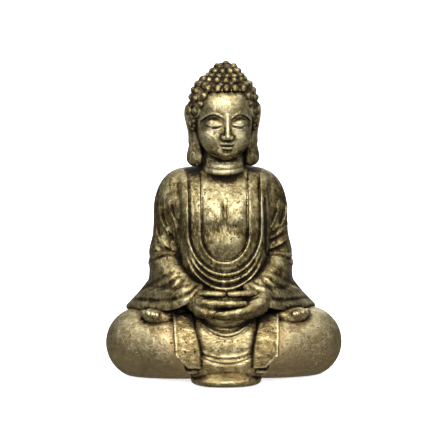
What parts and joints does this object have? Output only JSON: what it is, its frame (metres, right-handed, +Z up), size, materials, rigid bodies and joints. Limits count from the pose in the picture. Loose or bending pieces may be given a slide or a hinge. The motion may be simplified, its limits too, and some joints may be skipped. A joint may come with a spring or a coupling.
{
  "type": "buddha statue",
  "caption": "Seated meditating Buddha figure with hands in the lap, robed, gilded with a dark patina, hollow cast in sections on a felt base.",
  "frame": {"origin": "under the middle of the figure's width and depth, on the surface that it stands on", "axes": "+Z up, the figure faces -Y, and its left side is at +X"},
  "size_m": [0.3, 0.2, 0.4],
  "materials": {
    "antique_gold": "imitation gold leaf (leaf brass) over cast resin, satin, with a dark patina in the folds",
    "cast_resin": "bare cast resin, matte",
    "felt": "felt sheet",
    "dowel_wood": "plain beech dowel"
  },
  "bodies": {
    "root": {"body_shell": "antique_gold", "neck": "antique_gold", "head": "antique_gold", "hair_cap": "antique_gold", "ushnisha": "antique_gold", "left_ear": "antique_gold", "right_ear": "antique_gold", "inner_robe_band": "antique_gold", "outer_robe_band": "antique_gold", "left_sleeve": "antique_gold", "right_sleeve": "antique_gold", "left_cuff": "antique_gold", "right_cuff": "antique_gold", "left_hand": "antique_gold", "right_hand": "antique_gold", "left_leg": "antique_gold", "right_leg": "antique_gold", "left_foot": "antique_gold", "right_foot": "antique_gold", "left_sash": "antique_gold", "right_sash": "antique_gold", "lap_cloth": "antique_gold", "lap_swag": "antique_gold", "front_hem": "antique_gold", "neck_dowel": "dowel_wood", "ushnisha_pin": "dowel_wood", "left_arm_dowel": "dowel_wood", "right_arm_dowel": "dowel_wood", "left_leg_dowel": "dowel_wood", "right_leg_dowel": "dowel_wood", "left_wrist_pin": "dowel_wood", "right_wrist_pin": "dowel_wood", "base_plate": "cast_resin", "felt_base": "felt"}
  },
  "joints": []
}
